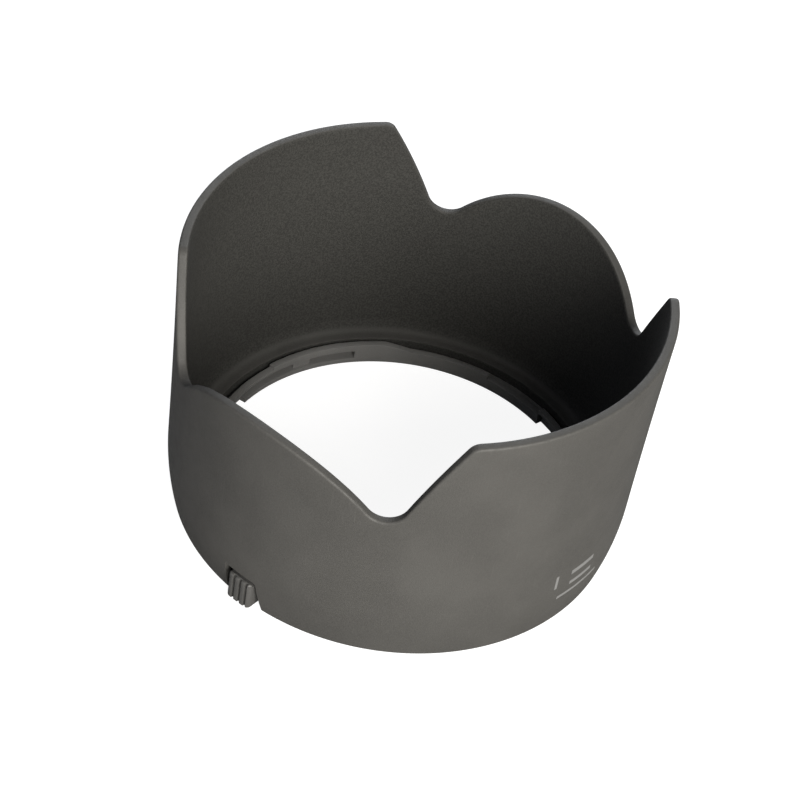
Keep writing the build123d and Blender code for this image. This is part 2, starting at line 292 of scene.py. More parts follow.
class Nodes:
    """A material's node tree, with short calls for the nodes used here."""

    def __init__(self, name):
        self.material = bpy.data.materials.new(name)
        self.material.use_nodes = True
        self.tree = self.material.node_tree
        self.bsdf = self.tree.nodes["Principled BSDF"]
        self.place = self.add("ShaderNodeTexCoord").outputs["Object"]

    def add(self, kind, **settings):
        node = self.tree.nodes.new(kind)
        for key, value in settings.items():
            setattr(node, key, value)
        return node

    def put(self, value, socket):
        if isinstance(value, bpy.types.NodeSocket):
            self.tree.links.new(value, socket)
        else:
            socket.default_value = value

    def noise(self, size, detail=3, rough=0.5, place=None):
        """Noise with features of about a size in millimetres."""
        node = self.add("ShaderNodeTexNoise")
        self.put(place or self.place, node.inputs["Vector"])
        node.inputs["Scale"].default_value = 1 / (size * MM)
        node.inputs["Detail"].default_value = detail
        node.inputs["Roughness"].default_value = rough
        return node.outputs["Fac"]

    def cells(self, size):
        """Rounded cells of about a size in millimetres, like a moulded texture."""
        node = self.add("ShaderNodeTexVoronoi", feature="F1")
        self.put(self.place, node.inputs["Vector"])
        node.inputs["Scale"].default_value = 1 / (size * MM)
        return node.outputs["Distance"]

    def stretched(self, x, y, z):
        node = self.add("ShaderNodeMapping")
        self.put(self.place, node.inputs["Vector"])
        node.inputs["Scale"].default_value = (x, y, z)
        return node.outputs["Vector"]

    def math(self, operation, a, b=0.0, c=0.0):
        node = self.add("ShaderNodeMath", operation=operation)
        for value, socket in zip((a, b, c), node.inputs):
            self.put(value, socket)
        return node.outputs[0]

    def span(self, value, low, high, out_low=0.0, out_high=1.0):
        """The value's place between two limits, eased at both ends."""
        node = self.add("ShaderNodeMapRange", interpolation_type="SMOOTHSTEP")
        for item, socket in zip((value, low, high, out_low, out_high), node.inputs):
            self.put(item, socket)
        return node.outputs[0]

    def mix(self, share, first, second):
        node = self.add("ShaderNodeMix", data_type="RGBA")
        self.put(share, node.inputs[0])
        self.put(first, node.inputs[6])
        self.put(second, node.inputs[7])
        return node.outputs[2]

    def wear(self, low, high, patch):
        """Rubbed edges: faces curved more tightly than the limits (per millimetre), broken up by noise."""
        curve = self.add("ShaderNodeAttribute", attribute_name=EDGE_CURVE).outputs["Fac"]
        edge = self.span(curve, low, high)
        return self.math("MULTIPLY", edge, self.span(self.noise(patch), 0.35, 0.62))

    def bump(self, height, depth, strength=1.0):
        node = self.add("ShaderNodeBump")
        node.inputs["Strength"].default_value = strength
        node.inputs["Distance"].default_value = depth * MM
        self.put(height, node.inputs["Height"])
        self.put(node.outputs["Normal"], self.bsdf.inputs["Normal"])

    def finish(self, colour, roughness, **constants):
        self.put(colour, self.bsdf.inputs["Base Color"])
        self.put(roughness, self.bsdf.inputs["Roughness"])
        for name, value in constants.items():
            self.bsdf.inputs[name.replace("_", " ")].default_value = value
        return self.material


def shade(colour, factor):
    return (*(c * factor for c in colour), 1)


def moulded_plastic(name, colour, rough, grain, depth, gloss, wear_share=0.3, wear_tone=1.8):
    """Spark-textured moulded plastic: fine grain, faint flow patches, scuffs and rubbed edges."""
    n = Nodes(name)
    patches = n.span(n.noise(17, 2), 0.3, 0.7)
    specks = n.span(n.noise(grain * 1.6, 2), 0.35, 0.65)
    base = n.mix(patches, shade(colour, 0.9), shade(colour, 1.1))
    base = n.mix(n.math("MULTIPLY", specks, 0.35), base, shade(colour, 1.35))
    worn = n.wear(1.0, 2.0, 1.3)
    base = n.mix(n.math("MULTIPLY", worn, wear_share), base, shade(colour, wear_tone))
    scuffs = n.span(n.noise(0.5, 2, place=n.stretched(1, 1, 0.06)), 0.66, 0.74)
    base = n.mix(n.math("MULTIPLY", scuffs, 0.12), base, shade(colour, 2.0))
    height = n.math("ADD", n.math("MULTIPLY", n.cells(grain * 1.5), 0.7), n.noise(grain, 3, 0.6))
    n.bump(height, depth)
    dull = n.math("MULTIPLY_ADD", n.noise(2.4, 4), 0.16, rough - 0.08)
    dull = n.math("SUBTRACT", dull, n.math("MULTIPLY", worn, 0.12))
    return n, base, dull, gloss


def shell_plastic():
    """Warm grey-black outside. The faces that look inwards get a darker, flatter black."""
    n, base, dull, gloss = moulded_plastic("shell plastic", SHELL_TONE, 0.62, 0.2, 0.03, 0.25, 0.15)
    facing = n.add("ShaderNodeVectorMath", operation="DOT_PRODUCT")
    n.put(n.add("ShaderNodeTexCoord").outputs["Normal"], facing.inputs[0])
    flat = n.add("ShaderNodeVectorMath", operation="MULTIPLY")
    n.put(n.place, flat.inputs[0])
    flat.inputs[1].default_value = (1, 1, 0)
    outward = n.add("ShaderNodeVectorMath", operation="NORMALIZE")
    n.put(flat.outputs[0], outward.inputs[0])
    n.put(outward.outputs[0], facing.inputs[1])
    inside = n.span(facing.outputs["Value"], -0.35, -0.8)
    # faces that look inwards are darker and rougher than the outside
    inward_tone = n.mix(n.span(n.noise(0.4, 3), 0.35, 0.65), shade(INNER_TONE, 0.75), shade(INNER_TONE, 1.25))
    base = n.mix(inside, base, inward_tone)
    dull = n.math("ADD", dull, n.math("MULTIPLY", inside, 0.25))
    return n.finish(base, dull, Specular_IOR_Level=gloss)


def plain_plastic(name, colour, rough, grain, depth, gloss):
    n, base, dull, gloss = moulded_plastic(name, colour, rough, grain, depth, gloss)
    return n.finish(base, dull, Specular_IOR_Level=gloss)


def steel(name, colour, rough, stretch, tarnish=0.35):
    """Plated steel with fine tool marks and faint dull patches."""
    n = Nodes(name)
    marks = n.noise(0.12, 3, place=n.stretched(*stretch))
    patches = n.span(n.noise(1.1, 3), 0.35, 0.7)
    base = n.mix(n.math("MULTIPLY", patches, tarnish), shade(colour, 1), shade(colour, 0.6))
    base = n.mix(n.wear(2.0, 5.0, 0.4), base, shade(colour, 1.35))
    n.bump(marks, 0.008)
    dull = n.math("MULTIPLY_ADD", marks, 0.2, rough - 0.1)
    dull = n.math("ADD", dull, n.math("MULTIPLY", patches, 0.12))
    return n.finish(base, dull, Metallic=1.0)


def ink(name):
    """Pad-printed grey ink, a little thin in places."""
    n = Nodes(name)
    thin = n.span(n.noise(0.35, 3), 0.55, 0.75)
    base = n.mix(n.math("MULTIPLY", thin, 0.4), (0.17, 0.17, 0.168, 1), (0.09, 0.09, 0.09, 1))
    n.bump(n.noise(0.15, 2), 0.01)
    return n.finish(base, n.math("MULTIPLY_ADD", thin, 0.15, 0.5))


SHELL_TONE, INNER_TONE = (0.057, 0.0555, 0.052), (0.03, 0.0295, 0.027)
PLASTIC_SHELL = shell_plastic()
PLASTIC_RING = plain_plastic("ring plastic", (0.16, 0.158, 0.153), 0.4, 0.12, 0.012, 0.5)
PLASTIC_BUTTON = plain_plastic("button plastic", (0.055, 0.054, 0.052), 0.5, 0.15, 0.015, 0.45)
PLASTIC_LEVER = plain_plastic("lever plastic", (0.045, 0.045, 0.046), 0.38, 0.12, 0.01, 0.5)
STEEL_SCREW = steel("screw steel", (0.16, 0.16, 0.17), 0.38, (1, 1, 0.25), 0.5)
STEEL_PIN = steel("pin steel", (0.55, 0.55, 0.56), 0.28, (0.2, 0.2, 1))
STEEL_SPRING = steel("spring steel", (0.5, 0.49, 0.47), 0.3, (0.2, 1, 1))
INK = ink("print ink")


def measure_edges(obj):
    """Stores how tightly each face is curved where it is convex, per millimetre, for the rubbed edges."""
    bm = bmesh.new()
    bm.from_mesh(obj.data)
    curves = []
    for face in bm.faces:
        bend = 0.0
        for edge in face.edges:
            if len(edge.link_faces) == 2:
                bend += edge.calc_length() * max(0.0, edge.calc_face_angle_signed(0.0))
        curves.append(bend / (2 * max(face.calc_area(), 1e-12)) * MM)
    bm.free()
    layer = obj.data.attributes.new(EDGE_CURVE, "FLOAT", "FACE")
    layer.data.foreach_set("value", curves)


def finish_piece(obj, body, node, material):
    """Gives a piece its material, ties it to its body and hides its CAD node."""
    measure_edges(obj)
    obj.data.materials.clear()
    obj.data.materials.append(material)
    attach(obj, body)
    if node:
        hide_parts(node)
    return obj


# ---- hood shell ----
COVE_START = 44.6
SHELF_LIP = 0.3
BASE_ROUND = 0.25
SKIRT_LEVELS = (1.5, 0.8)
INSET = 1.3  # how far below the edge the upright columns end
BASE_STEPS, WALL_STEPS, COVE_STEPS = 26, 34, 8


def polar(angle, radius, z):
    return radius * math.cos(angle), radius * math.sin(angle), z


def quarter_turns(count):
    return [math.pi / 2 * i / count for i in range(count + 1)]


def shell_loops():
    """The petal wall, its shelf and its base as closed rings, from the base up the outside and back."""
    rim = full_rim()
    columns = [(a + da * INSET, z + dz * INSET) for a, z, da, dz in rim]
    loops = []

    def even(radius, z):
        loops.append([polar(a, radius, z) for a, _ in columns])

    def rising(share, skin):
        """A ring part of the way from the belt to the front edge."""
        heights = [BELT_Z + (top - BELT_Z) * share for _, top in columns]
        loops.append([polar(a, outer_r(z) - skin, z) for (a, _), z in zip(columns, heights)])

    def near_edge(depth, skin):
        """A ring at a depth below the edge, measured square to it."""
        ring = [(a + da * depth, z + dz * depth) for a, z, da, dz in rim]
        loops.append([polar(a, outer_r(z) - skin, z) for a, z in ring])

    for t in reversed(quarter_turns(3)):
        z = BASE_ROUND * (1 - math.sin(t))
        even(outer_r(z) - BASE_ROUND * (1 - math.cos(t)), z)
    for i in range(1, BASE_STEPS + 1):
        z = BASE_ROUND + (BELT_Z - BASE_ROUND) * i / BASE_STEPS
        even(outer_r(z), z)
    for i in range(1, WALL_STEPS + 1):
        rising(i / WALL_STEPS, 0)
    for t in quarter_turns(5):
        near_edge(EDGE_ROUND * (1 - math.sin(t)), EDGE_ROUND * (1 - math.cos(t)))
    for t in reversed(quarter_turns(5)):
        near_edge(EDGE_ROUND * (1 - math.sin(t)), WALL - EDGE_ROUND * (1 - math.cos(t)))
    for i in range(WALL_STEPS, -1, -1):
        rising(i / WALL_STEPS, WALL)
    cove_top = SHELF_TOP + COVE_R
    for i in range(1, COVE_STEPS):
        z = BELT_Z + (cove_top - BELT_Z) * i / COVE_STEPS
        even(inner_r(z), z)
    for t in quarter_turns(8):
        even(COVE_START + COVE_R * math.cos(t), cove_top - COVE_R * math.sin(t))
    for t in quarter_turns(3):
        even(SHELF_R + SHELF_LIP * (1 - math.sin(t)), SHELF_TOP - SHELF_LIP * (1 - math.cos(t)))
    even(SHELF_R, SHELF_BOTTOM)
    even(inner_r(SHELF_BOTTOM), SHELF_BOTTOM)
    for z in SKIRT_LEVELS:
        even(inner_r(z), z)
    for t in quarter_turns(3):
        z = BASE_ROUND * (1 - math.sin(t))
        even(inner_r(z) + BASE_ROUND * (1 - math.cos(t)), z)
    return loops


# The lock's hollows in the shell, at +X before they are turned to their side.
BAY_HALF, BAY_IN, BAY_OUT, BAY_TOP, BAY_WALL, SEAT_WALL = 6.0, 42.7, 46.4, 8.0, 1.6, 0.6
NOTCH_TOP = 8.1
# How far the notch reaches from the button's middle towards the lever's side and towards the free side.
NOTCH_LEVER_SIDE, NOTCH_FREE_SIDE = 3.7, 4.9
NOTCH_BASE_LEVER_SIDE, NOTCH_BASE_FREE_SIDE = 5.1, 4.3
NOTCH_LEVER_ROUND, NOTCH_FREE_ROUND = 1.0, 0.4
LEVER_BAY_R, LEVER_BAY_TOP, LEVER_BAY_END = 46.45, 4.4, 24.0
LEVER_ROOF_TOP, LEVER_ROOF_END = 6.4, 29.0
HOUSING_R, LEVER_HOUSING_R, HOUSING_ROUND = 47.2, 47.4, 0.3
CUT_R, NOTCH_R = SHELF_R - 3, 53
OVERLAP = 0.5  # how far a cut or a block runs into its neighbour
CUT_INSET, UNDER_SEAT_DROP = 0.01, 1.5
PLATE_START, PLATE_END = -12.5, 28.0
RING_SCREW_R, RING_SCREW_ANGLES = 44.3, (50, 130, 230, 310)


def notch_outline():
    """The button's opening: open at the base, with round top corners."""
    points = [(-NOTCH_BASE_FREE_SIDE, -1), (NOTCH_BASE_LEVER_SIDE, -1)]
    corners = ((NOTCH_LEVER_SIDE, NOTCH_LEVER_ROUND, 1), (NOTCH_FREE_SIDE, NOTCH_FREE_ROUND, -1))
    for reach, radius, way in corners:
        arc = [
            (way * (reach - radius + radius * math.cos(t)), NOTCH_TOP - radius + radius * math.sin(t))
            for t in quarter_turns(6)
        ]
        points += arc if way > 0 else reversed(arc)
    return points


def make_hood_shell():
    bm = bmesh.new()
    add_loops(bm, shell_loops())
    shell = to_object("hood_shell_body", bm)

    def housing(bm):
        side = BAY_HALF + BAY_WALL
        add_block(bm, BAY_IN - SEAT_WALL, HOUSING_R, -side, side, SHELF_BOTTOM, BAY_TOP + BAY_WALL)

    def lever_housing(bm):
        start = PLATE_START - 1
        add_sector(bm, BAY_IN, LEVER_HOUSING_R, start, LEVER_ROOF_END, SHELF_BOTTOM, LEVER_ROOF_TOP)

    def button_bay(bm):
        add_block(bm, BAY_IN, BAY_OUT, -BAY_HALF, BAY_HALF, SHELF_BOTTOM - 1, BAY_TOP)

    def lever_bay(bm):
        add_sector(bm, CUT_R, LEVER_BAY_R, 0, LEVER_BAY_END, SHELF_BOTTOM - 1, LEVER_BAY_TOP)

    def under_seat(bm):
        """The room under the button's seat. A known fault: this tool's own faces stay in the mesh."""
        half, top = BAY_HALF - CUT_INSET, LEVER_BAY_TOP - CUT_INSET
        add_block(bm, CUT_R, BAY_IN + 1, -half, half, SHELF_BOTTOM - UNDER_SEAT_DROP, top)

    def notch(bm):
        add_prism(bm, notch_outline(), lambda p, x: (x, p[0], p[1]), BAY_OUT - OVERLAP, NOTCH_R)

    for draw in (housing, lever_housing):
        block = tool(draw, LOCK_TURN)
        round_edges(block, HOUSING_ROUND)
        combine(shell, block, "UNION")
    for draw in (button_bay, lever_bay, under_seat, notch):
        combine(shell, tool(draw, LOCK_TURN), "DIFFERENCE")
    shell.data.shade_smooth()
    shell.data.set_sharp_from_angle(angle=math.radians(SMOOTH_ANGLE))
    return finish_piece(shell, "hood", "hood_shell", PLASTIC_SHELL)


# ---- sizes of the screws, which the ring and the lock plate share ----
HEAD_ROOM, SCREW_GAP = 0.1, 0.02
RING_HEAD_R, RING_SHANK_R, RING_SCREW_TIP = 1.4, 0.8, 4.1
PLATE_SCREW_R, PLATE_SCREW_ANGLES = 44.4, (-10.3, 25.8)
PLATE_HEAD_R, PLATE_HEAD, PLATE_SHANK_R, PLATE_SCREW_TIP = 1.2, 0.7, 0.65, 4.3
PLATE_BOTTOM, PLATE_INSET = 0.8, 0.05
THREAD_PITCH, THREAD_DEPTH, SCREW_EDGE = 0.4, 0.12, 0.25


# ---- bayonet ring ----
BORE_R, COLLAR_R, COLLAR_TOP, FLANGE_R = 40.4, 41.85, 5.0, 45.95
BAYONET_PITCH = 120
LOW_START, LOW_END, RAMP_START, RAMP_END = -13, 9, 36, 44
SLOT_START, RIDGE_START, GATE_START, BAND_START, ENTRY_START, GATE_END = 54, 69, 75, 84, 97, 107
RING_MARKS = (LOW_START, LOW_END, RAMP_START, RAMP_END)
RING_MARKS += (SLOT_START, RIDGE_START, GATE_START, BAND_START, ENTRY_START)
LOW_TOP, MIDDLE_TOP, BAND_TOP = 2.6, 3.6, 4.2
SLOT_BOTTOM, SLOT_TOP = 1.2, 3.3
GROOVE_R = BORE_R + 0.8
TRACK_R = COLLAR_R + 1  # how deep the slot and the gate reach above the lip
LOCK_GAP_R, LOCK_GAP_START, LOCK_GAP_END = 42.6, -12.7, 28.2
RING_SCREW_HEAD, RING_SCREW_INSET = 1.0, 0.1


def between(value, low, high):
    return low < value < high


def collar_height(turn):
    """The collar's top at an angle counted from its low stretch. The ramp is shaped later."""
    if between(turn, LOW_START, LOW_END):
        return LOW_TOP
    if between(turn, LOW_END, RAMP_START):
        return MIDDLE_TOP
    if between(turn, BAND_START, GATE_END):
        return BAND_TOP
    return COLLAR_TOP


def ring_filled(radius, angle, z):
    """Whether the bayonet ring has plastic at a place."""
    turn = (angle - LOW_START) % BAYONET_PITCH + LOW_START
    if radius > COLLAR_R:
        lock = (angle - 180) % 360
        lock = lock - 360 if lock > 180 else lock
        in_lock_gap = radius > LOCK_GAP_R and between(lock, LOCK_GAP_START, LOCK_GAP_END)
        on_track = between(turn, SLOT_START, RIDGE_START) or between(turn, GATE_START, GATE_END)
        in_track = on_track and radius < TRACK_R and z > SLOT_BOTTOM
        return z < SHELF_BOTTOM and not in_lock_gap and not in_track
    if z > collar_height(turn):
        return False
    if between(turn, SLOT_START, RIDGE_START):
        return not between(z, SLOT_BOTTOM, SLOT_TOP)
    if between(turn, RIDGE_START, GATE_START):
        return radius > GROOVE_R or not between(z, SLOT_BOTTOM, SLOT_TOP)
    if between(turn, GATE_START, ENTRY_START):
        return not between(z, SLOT_BOTTOM, SLOT_TOP)
    if between(turn, ENTRY_START, GATE_END):
        return z > SLOT_TOP
    return True


def ring_angles():
    """Angles round the ring: every change of its shape, and steps of a degree or less between."""
    marks = {180 + LOCK_GAP_START, 180 + LOCK_GAP_END}
    for third in range(3):
        for mark in RING_MARKS:
            marks.add((mark + BAYONET_PITCH * third) % 360)
    marks = sorted(marks)
    angles = []
    for low, high in zip(marks, marks[1:] + [marks[0] + 360]):
        steps = max(1, math.ceil(high - low))
        angles += [low + (high - low) * i / steps for i in range(steps)]
    return angles


def add_ring_cells(bm, radii, angles, levels, filled, place):
    """Walls between the filled and the empty cells of a round grid."""
    verts = {}
    count = len(angles)

    def corner(i, j, k):
        key = (i, j % count, k)
        if key not in verts:
            verts[key] = bm.verts.new(place(radii[i], angles[j % count], levels[k]))
        return verts[key]

    def is_filled(i, j, k):
        if not (0 <= i < len(radii) - 1 and 0 <= k < len(levels) - 1):
            return False
        after = angles[(j + 1) % count] + (360 if (j + 1) % count == 0 else 0)
        middle = (angles[j % count] + after) / 2
        return filled((radii[i] + radii[i + 1]) / 2, middle, (levels[k] + levels[k + 1]) / 2)

    for i in range(len(radii) - 1):
        for j in range(count):
            for k in range(len(levels) - 1):
                if not is_filled(i, j, k):
                    continue
                i1, j1, k1 = i + 1, j + 1, k + 1
                sides = (
                    ((i - 1, j, k), ((i, j, k), (i, j1, k), (i, j1, k1), (i, j, k1))),
                    ((i1, j, k), ((i1, j, k), (i1, j, k1), (i1, j1, k1), (i1, j1, k))),
                    ((i, (j - 1) % count, k), ((i, j, k), (i, j, k1), (i1, j, k1), (i1, j, k))),
                    ((i, j1 % count, k), ((i, j1, k), (i1, j1, k), (i1, j1, k1), (i, j1, k1))),
                    ((i, j, k - 1), ((i, j, k), (i1, j, k), (i1, j1, k), (i, j1, k))),
                    ((i, j, k1), ((i, j, k1), (i, j1, k1), (i1, j1, k1), (i1, j, k1))),
                )
                for neighbour, face in sides:
                    if not is_filled(*neighbour):
                        bm.faces.new([corner(*c) for c in face])


def ramp_place(radius, angle, z):
    """A point of the ring, with what stands on the ramp pressed down to its slope."""
    turn = (angle - LOW_START) % BAYONET_PITCH + LOW_START
    if RAMP_START <= turn <= RAMP_END and radius <= COLLAR_R:
        share = (turn - RAMP_START) / (RAMP_END - RAMP_START)
        z = min(z, MIDDLE_TOP + (COLLAR_TOP - MIDDLE_TOP) * share)
    return polar(math.radians(angle), radius, z)


def make_bayonet_ring():
    bm = bmesh.new()
    radii = (BORE_R, GROOVE_R, COLLAR_R, LOCK_GAP_R, TRACK_R, FLANGE_R)
    levels = (0, SLOT_BOTTOM, SHELF_BOTTOM, LOW_TOP, SLOT_TOP, MIDDLE_TOP, BAND_TOP, COLLAR_TOP)
    add_ring_cells(bm, radii, ring_angles(), levels, ring_filled, ramp_place)
    bmesh.ops.remove_doubles(bm, verts=bm.verts, dist=1e-4)
    bmesh.ops.dissolve_degenerate(bm, edges=bm.edges, dist=1e-4)
    ring = to_object("bayonet_ring_body", bm)
    seat_top = RING_SCREW_HEAD + RING_SCREW_INSET
    for radius, top in ((RING_HEAD_R + HEAD_ROOM, seat_top), (RING_SHANK_R + SCREW_GAP, SHELF_BOTTOM + 1)):

        def posts(bm, radius=radius, top=top):
            for angle in RING_SCREW_ANGLES:
                add_post(bm, *on_circle(RING_SCREW_R, angle), radius, -1, top)

        combine(ring, tool(posts), "DIFFERENCE")
    round_edges(ring, 0.1, 2, 40)
    return finish_piece(ring, "hood", "bayonet_ring", PLASTIC_RING)


def add_lathe(bm, x, y, profile, count=40):
    """A closed turned part: the profile runs from the axis at its foot to the axis at its tip."""
    rows = []
    for radius, z in profile[1:-1]:
        points = [(x + radius * math.cos(t), y + radius * math.sin(t), z) for t in circle_steps(count)]
        rows.append([bm.verts.new(point) for point in points])
    foot = bm.verts.new((x, y, profile[0][1]))
    tip = bm.verts.new((x, y, profile[-1][1]))
    for i in range(count):
        j = (i + 1) % count
        bm.faces.new((foot, rows[0][j], rows[0][i]))
        bm.faces.new((tip, rows[-1][i], rows[-1][j]))
        for low, high in zip(rows, rows[1:]):
            bm.faces.new((low[i], low[j], high[j], high[i]))


def screw_profile(head_r, bottom, head, shank_r, tip):
    """A flat head with a rounded face edge, then a shank with thread ridges and a short point."""
    edge = SCREW_EDGE
    profile = [(0, bottom), (head_r - edge, bottom)]
    for i in range(1, 5):
        t = math.pi / 2 * i / 4
        profile.append((head_r - edge + edge * math.sin(t), bottom + edge * (1 - math.cos(t))))
    profile += [(head_r, bottom + head), (shank_r - THREAD_DEPTH, bottom + head)]
    ridges = int((tip - bottom - head - THREAD_PITCH) / THREAD_PITCH)
    for i in range(ridges):
        z = bottom + head + THREAD_PITCH * (i + 0.5)
        profile += [(shank_r - THREAD_DEPTH, z - THREAD_PITCH * 0.25), (shank_r, z)]
    profile += [(shank_r - THREAD_DEPTH, tip - THREAD_PITCH * 0.8), (0.15, tip), (0, tip)]
    return profile


def make_screws(name, node, radius, angles, turn, sizes):
    """A set of small screws with cross recesses, their heads towards the lens end."""
    head_r, bottom, head, shank_r, tip = sizes
    bm = bmesh.new()
    for angle in angles:
        add_lathe(bm, *on_circle(radius, angle), screw_profile(*sizes))
    bmesh.ops.rotate(bm, verts=bm.verts, cent=(0, 0, 0), matrix=Matrix.Rotation(turn, 3, "Z"))
    screws = to_object(name, bm)
    arm, half, depth = head_r * 0.65, head_r * 0.65 * 0.175, head * 0.5
    for across, along in ((arm, half), (half, arm)):

        def recesses(bm, across=across, along=along):
            for angle in angles:
                x, y = on_circle(radius, angle)
                add_block(bm, x - across, x + across, y - along, y + along, bottom - 1, bottom + depth)

        combine(screws, tool(recesses, turn), "DIFFERENCE")
    return finish_piece(screws, "hood", node, STEEL_SCREW)


PIVOT_R, PIVOT_ANGLE = 44.5, 12.0
PIN_R, PIN_BOTTOM, PIN_TOP, PIN_CHAMFER = 0.75, 1.3, 5.6, 0.12


def make_pin():
    bm = bmesh.new()
    face_r = PIN_R - PIN_CHAMFER
    profile = [(0, PIN_BOTTOM), (face_r, PIN_BOTTOM), (PIN_R, PIN_BOTTOM + PIN_CHAMFER)]
    profile += [(PIN_R, PIN_TOP - PIN_CHAMFER), (face_r, PIN_TOP), (0, PIN_TOP)]
    add_lathe(bm, *on_circle(PIVOT_R, PIVOT_ANGLE), profile)
    bmesh.ops.rotate(bm, verts=bm.verts, cent=(0, 0, 0), matrix=Matrix.Rotation(LOCK_TURN, 3, "Z"))
    return finish_piece(to_object("lever_pin_body", bm), "hood", "lever_pin", STEEL_PIN)


# ---- lock plate ----
PLATE_IN, PLATE_OUT, PIN_FIT = 42.75, 45.9, 0.02
TRAVEL, STEM_ROOM = 1.2, 0.3


def make_lock_plate():
    def blank(bm):
        add_sector(bm, PLATE_IN, PLATE_OUT, PLATE_START, PLATE_END, PLATE_BOTTOM, SHELF_BOTTOM)

    plate = tool(blank, LOCK_TURN)
    plate.name = "lock_plate_body"

    def pin_seat(bm):
        add_post(bm, *on_circle(PIVOT_R, PIVOT_ANGLE), PIN_R + PIN_FIT, PIN_BOTTOM, SHELF_BOTTOM + 1)

    def shanks(bm):
        for angle in PLATE_SCREW_ANGLES:
            add_post(bm, *on_circle(PLATE_SCREW_R, angle), PLATE_SHANK_R + SCREW_GAP, 0, SHELF_BOTTOM + 1)

    def heads(bm):
        for angle in PLATE_SCREW_ANGLES:
            top = PLATE_BOTTOM + PLATE_INSET + PLATE_HEAD
            add_post(bm, *on_circle(PLATE_SCREW_R, angle), PLATE_HEAD_R + HEAD_ROOM, 0, top)

    def stem(bm):
        inner = SHOULDER_OUT - TRAVEL - STEM_ROOM
        half = BUTTON_HALF + STEM_ROOM
        add_block(bm, inner, PLATE_OUT + 1, -half, half, 0, SHELF_BOTTOM + 1)

    for draw in (pin_seat, shanks, heads, stem):
        combine(plate, tool(draw, LOCK_TURN), "DIFFERENCE")
    round_edges(plate, 0.08)
    return finish_piece(plate, "hood", "lock_plate", PLASTIC_RING)


# ---- lock button ----
FACE_X, BUTTON_HALF, BUTTON_BOTTOM, BUTTON_TOP = 50.5, 3.05, 0.5, 7.3
SHOULDER_IN, SHOULDER_OUT, SHOULDER_HALF = 44.15, 46.35, 5.8
SHOULDER_TOP, SHOULDER_FOOT, SHOULDER_BRIDGE = 7.7, 2.4, 3.8
GROOVE_COUNT, GROOVE_PITCH, GROOVE_WIDTH, GROOVE_OFFSET, RIB_DEPTH = 3, 1.6, 0.7, 0.35, 0.6
PEG_X, PEG_Y, PEG_R, PEG_TOP = 45.35, 3.4, 0.6, 5.2
PEG_GAP, PEG_SLOT, PEG_SLOT_Y = 0.08, 2.46, 3.28
SPRING_R, SPRING_WIRE, SPRING_Z = 1.0, 0.25, 5.3
POCKET_R, POCKET_X = 1.2, 49.0
GRIP_CORNER, GRIP_PLATE, GRIP_STEP, GRIP_EDGE = 1.1, 0.8, 0.55, 0.4
LEVER_BOTTOM, LEVER_TOP = 2.4, 3.6


def make_lock_button():
    def block_with_round_front(bm):
        back, front, side = SHOULDER_OUT - OVERLAP, FACE_X - GRIP_CORNER, BUTTON_HALF - GRIP_CORNER
        arc = [
            (front + GRIP_CORNER * math.cos(t), side + GRIP_CORNER * math.sin(t))
            for t in quarter_turns(8)
        ]
        outline = [(back, -BUTTON_HALF)] + [(x, -y) for x, y in reversed(arc)] + arc + [(back, BUTTON_HALF)]
        add_prism(bm, outline, lambda p, z: (*p, z), BUTTON_BOTTOM, BUTTON_TOP)

    grip = tool(block_with_round_front, LOCK_TURN)
    grip.name = "lock_button_body"
    round_edges(grip, GRIP_EDGE, 4)

    def grooves(bm):
        half = GROOVE_WIDTH / 2
        for i in range(GROOVE_COUNT):
            y = GROOVE_OFFSET + (i - (GROOVE_COUNT - 1) / 2) * GROOVE_PITCH
            low, high = BUTTON_BOTTOM - 1, BUTTON_TOP + 1
            add_block(bm, FACE_X - RIB_DEPTH, FACE_X + 1, y - half, y + half, low, high)

    def step(bm):
        """The room behind the ribbed plate, which shows as the dark gap above the button."""
        front, half = FACE_X - GRIP_PLATE, BUTTON_HALF + 1
        add_block(bm, SHOULDER_IN, front, -half, half, BUTTON_TOP - GRIP_STEP, BUTTON_TOP + 1)

    def foot_gap(bm):
        add_block(bm, SHOULDER_OUT - 2, SHOULDER_OUT, -BUTTON_HALF - 1, BUTTON_HALF + 1, -1, SHOULDER_FOOT)

    def shoulder(bm):
        add_block(bm, SHOULDER_IN, SHOULDER_OUT, -SHOULDER_HALF, SHOULDER_HALF, SHOULDER_FOOT, SHOULDER_TOP)

    def lever_gap(bm):
        add_block(bm, SHOULDER_IN - 1, SHOULDER_OUT + 0.1, 0.5, SHOULDER_HALF + 1, 0, SHOULDER_BRIDGE)

    def peg_room(bm):
        radius = PEG_R + PEG_GAP
        reach = PEG_SLOT / 2 - radius
        outline = bar_outline((PEG_X, PEG_SLOT_Y - reach), radius, (PEG_X, PEG_SLOT_Y + reach), radius)
        add_prism(bm, outline, lambda p, z: (*p, z), LEVER_TOP, PEG_TOP + 0.2)

    def spring_room(bm):
        outline = [(POCKET_R * math.cos(t), POCKET_R * math.sin(t)) for t in circle_steps(40)]
        add_prism(bm, outline, lambda p, x: (x, p[0], SPRING_Z + p[1]), BAY_IN, POCKET_X)

    combine(grip, tool(grooves, LOCK_TURN), "DIFFERENCE")
    combine(grip, tool(step, LOCK_TURN), "DIFFERENCE")
    combine(grip, tool(foot_gap, LOCK_TURN), "DIFFERENCE")
    combine(grip, tool(shoulder, LOCK_TURN), "UNION")
    for draw in (lever_gap, peg_room, spring_room):
        combine(grip, tool(draw, LOCK_TURN), "DIFFERENCE")
    round_edges(grip, 0.11, 2, 50)
    return finish_piece(grip, "button", "lock_button", PLASTIC_BUTTON)


# ---- lever ----
HUB_R, HUB_TOP, HUB_HOLE_R = 1.7, 4.2, 0.8
ARM_END_R, CLAW_END_R, CLAW_ROOT_R = 0.9, 0.8, 43.3
CLAW_ANGLE, CLAW_HALF_ANGLE, CLAW_TIP_R, CLAW_TOP = 19.0, 1.7, 40.5, 3.2


